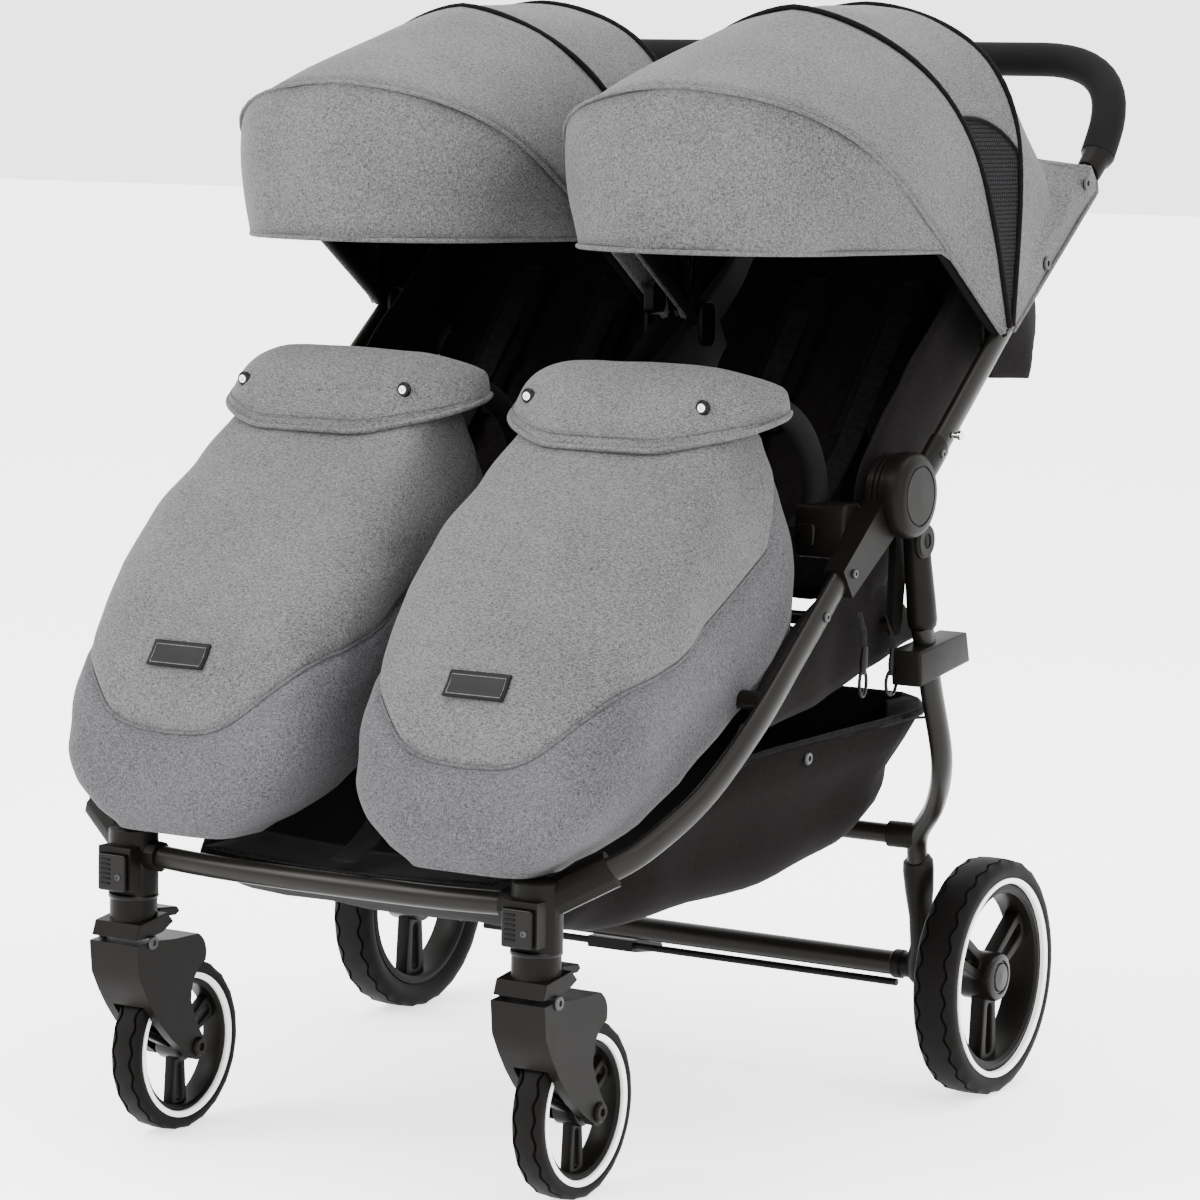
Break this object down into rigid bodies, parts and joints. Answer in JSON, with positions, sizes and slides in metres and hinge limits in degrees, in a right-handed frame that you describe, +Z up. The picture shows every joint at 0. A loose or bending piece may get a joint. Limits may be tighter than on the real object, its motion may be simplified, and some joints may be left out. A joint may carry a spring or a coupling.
{
  "type": "twin pushchair",
  "caption": "Side-by-side twin pushchair with folding frame, swivel casters, reclining seats, folding canopies and foot muffs.",
  "frame": {"origin": "centre of the bounding box, on the floor", "axes": "+Y points back, from the casters to the handle; +Z is up; +X is the right-hand side as seen from the front"},
  "size_m": [0.774, 0.9768, 1.1047],
  "materials": {
    "frame_tube": "matt dark brown-black powder coat",
    "frame_plastic": "fine-textured moulded nylon, dark brown-black",
    "grip_foam": "closed-cell foam, matt charcoal",
    "tyre": "matt EVA tread",
    "steel": "polished",
    "grey_fabric": "grey melange woven polyester",
    "black_fabric": "black woven polyester, quilted on the seats"
  },
  "bodies": {
    "chassis": {"front_leg_right": "frame_tube", "front_leg_left": "frame_tube", "caster_housing_right": "frame_plastic", "caster_housing_left": "frame_plastic", "hub_base_right": "frame_plastic", "hub_base_left": "frame_plastic", "seat_right": "black_fabric", "seat_left": "black_fabric", "bumper_bar_right": "grip_foam", "bumper_bar_left": "grip_foam", "foot_muff_right": "grey_fabric", "foot_muff_left": "grey_fabric", "front_crossbar": "frame_tube", "seat_crossbar": "frame_tube", "centre_bracket": "frame_plastic", "basket": "black_fabric", "footrest_panel": "black_fabric"},
    "handle_frame": {"hub_cover_right": "frame_plastic", "hub_cover_left": "frame_plastic", "handle_tube_right": "frame_tube", "handle_tube_left": "frame_tube", "storage_pin_right": "steel", "storage_pin_left": "steel", "canopy_rear_right": "grey_fabric", "canopy_rear_left": "grey_fabric", "handle_grip": "grip_foam"},
    "rear_frame": {"rear_leg_right": "frame_tube", "rear_leg_left": "frame_tube", "rear_leg_sleeve_right": "frame_plastic", "rear_leg_sleeve_left": "frame_plastic", "axle_bracket_right": "frame_plastic", "axle_bracket_left": "frame_plastic", "rear_axle_tube": "frame_tube", "rear_crossbar": "frame_tube", "storage_catch": "frame_plastic"},
    "brake": {"brake_pedal": "frame_plastic"},
    "seat_hinge": {"seat_hinge_bar": "frame_tube"},
    "backrest_left": {"backrest_left": "black_fabric"},
    "hood_middle_left": {"canopy_middle_left": "grey_fabric"},
    "hood_front_left": {"canopy_front_left": "grey_fabric"},
    "rear_wheel_left": {"rear_tyre_left": "tyre", "rear_rim_left": "frame_plastic"},
    "caster_left": {"caster_stem_left": "frame_plastic"},
    "fork_left": {"caster_fork_left": "frame_plastic"},
    "front_wheel_left": {"front_tyre_left": "tyre", "front_rim_left": "frame_plastic"},
    "swivel_lock_left": {"swivel_lock_left": "frame_plastic"},
    "release_button_left": {"release_button_left": "frame_plastic"},
    "backrest_right": {"backrest_right": "black_fabric"},
    "hood_middle_right": {"canopy_middle_right": "grey_fabric"},
    "hood_front_right": {"canopy_front_right": "grey_fabric"},
    "rear_wheel_right": {"rear_tyre_right": "tyre", "rear_rim_right": "frame_plastic"},
    "caster_right": {"caster_stem_right": "frame_plastic"},
    "fork_right": {"caster_fork_right": "frame_plastic"},
    "front_wheel_right": {"front_tyre_right": "tyre", "front_rim_right": "frame_plastic"},
    "swivel_lock_right": {"swivel_lock_right": "frame_plastic"},
    "release_button_right": {"release_button_right": "frame_plastic"}
  },
  "joints": [
    {"name": "fold", "type": "hinge", "parent": "chassis", "child": "handle_frame", "pos_m": [0, -0.0014, 0.631], "axis": [1, 0, 0], "range_deg": [0, 150], "deforming": ["foot_muff_right", "foot_muff_left", "seat_right", "seat_left", "backrest_right", "backrest_left", "canopy_front_right", "canopy_front_left", "canopy_middle_right", "canopy_middle_left", "canopy_rear_right", "canopy_rear_left", "basket", "footrest_panel"]},
    {"name": "rear_fold", "type": "hinge", "parent": "chassis", "child": "rear_frame", "pos_m": [0, 0.0296, 0.585], "axis": [1, 0, 0], "range_deg": [-55.5, 0]},
    {"name": "seat_fold", "type": "hinge", "parent": "chassis", "child": "seat_hinge", "pos_m": [0, 0.0206, 0.5], "axis": [1, 0, 0], "range_deg": [0, 60.5]},
    {"name": "brake", "type": "hinge", "parent": "rear_frame", "child": "brake", "pos_m": [0, 0.2126, 0.101], "axis": [-1, 0, 0], "range_deg": [0, 22]},
    {"name": "recline_left", "type": "hinge", "parent": "seat_hinge", "child": "backrest_left", "pos_m": [0, 0.0206, 0.5], "axis": [-1, 0, 0], "range_deg": [0, 35]},
    {"name": "hood_left", "type": "hinge", "parent": "handle_frame", "child": "hood_middle_left", "pos_m": [-0.368, 0.1776, 0.775], "axis": [-1, 0, 0], "range_deg": [0, 30]},
    {"name": "hood_front_left", "type": "hinge", "parent": "hood_middle_left", "child": "hood_front_left", "pos_m": [-0.368, 0.1776, 0.775], "axis": [-1, 0, 0], "range_deg": [0, 25.5]},
    {"name": "rear_wheel_left", "type": "hinge", "parent": "rear_frame", "child": "rear_wheel_left", "pos_m": [-0.3545, 0.2126, 0.121], "axis": [1, 0, 0], "continuous": true},
    {"name": "caster_left", "type": "hinge", "parent": "chassis", "child": "caster_left", "pos_m": [-0.229, -0.4474, 0.23], "axis": [0, 0, 1], "continuous": true},
    {"name": "suspension_left", "type": "hinge", "parent": "caster_left", "child": "fork_left", "pos_m": [-0.229, -0.4554, 0.202], "axis": [1, 0, 0], "range_deg": [0, 6], "stiffness_Nm_per_rad": 40, "springref_deg": -6.88},
    {"name": "front_wheel_left", "type": "hinge", "parent": "fork_left", "child": "front_wheel_left", "pos_m": [-0.229, -0.3814, 0.084], "axis": [1, 0, 0], "continuous": true},
    {"name": "swivel_lock_left", "type": "hinge", "parent": "caster_left", "child": "swivel_lock_left", "pos_m": [-0.229, -0.4237, 0.223], "axis": [1, 0, 0], "range_deg": [0, 14]},
    {"name": "release_button_left", "type": "slide", "parent": "chassis", "child": "release_button_left", "axis": [0, 1, 0], "range_m": [0, 0.003], "stiffness_N_per_m": 400, "springref_m": -0.002},
    {"name": "recline_right", "type": "hinge", "parent": "seat_hinge", "child": "backrest_right", "pos_m": [0, 0.0206, 0.5], "axis": [-1, 0, 0], "range_deg": [0, 35]},
    {"name": "hood_right", "type": "hinge", "parent": "handle_frame", "child": "hood_middle_right", "pos_m": [0.368, 0.1776, 0.775], "axis": [-1, 0, 0], "range_deg": [0, 30]},
    {"name": "hood_front_right", "type": "hinge", "parent": "hood_middle_right", "child": "hood_front_right", "pos_m": [0.368, 0.1776, 0.775], "axis": [-1, 0, 0], "range_deg": [0, 25.5]},
    {"name": "rear_wheel_right", "type": "hinge", "parent": "rear_frame", "child": "rear_wheel_right", "pos_m": [0.3545, 0.2126, 0.121], "axis": [1, 0, 0], "continuous": true},
    {"name": "caster_right", "type": "hinge", "parent": "chassis", "child": "caster_right", "pos_m": [0.229, -0.4474, 0.23], "axis": [0, 0, 1], "continuous": true},
    {"name": "suspension_right", "type": "hinge", "parent": "caster_right", "child": "fork_right", "pos_m": [0.229, -0.4554, 0.202], "axis": [1, 0, 0], "range_deg": [0, 6], "stiffness_Nm_per_rad": 40, "springref_deg": -6.88},
    {"name": "front_wheel_right", "type": "hinge", "parent": "fork_right", "child": "front_wheel_right", "pos_m": [0.229, -0.3814, 0.084], "axis": [1, 0, 0], "continuous": true},
    {"name": "swivel_lock_right", "type": "hinge", "parent": "caster_right", "child": "swivel_lock_right", "pos_m": [0.229, -0.4237, 0.223], "axis": [1, 0, 0], "range_deg": [0, 14]},
    {"name": "release_button_right", "type": "slide", "parent": "chassis", "child": "release_button_right", "axis": [0, 1, 0], "range_m": [0, 0.003], "stiffness_N_per_m": 400, "springref_m": -0.002}
  ],
  "couplings": [
    {"joint": "rear_fold", "follows": "fold", "ratio": -0.36667},
    {"joint": "seat_fold", "follows": "fold", "ratio": 0.4},
    {"joint": "hood_front_left", "follows": "hood_left", "ratio": 0.83333},
    {"joint": "hood_front_right", "follows": "hood_right", "ratio": 0.83333}
  ]
}
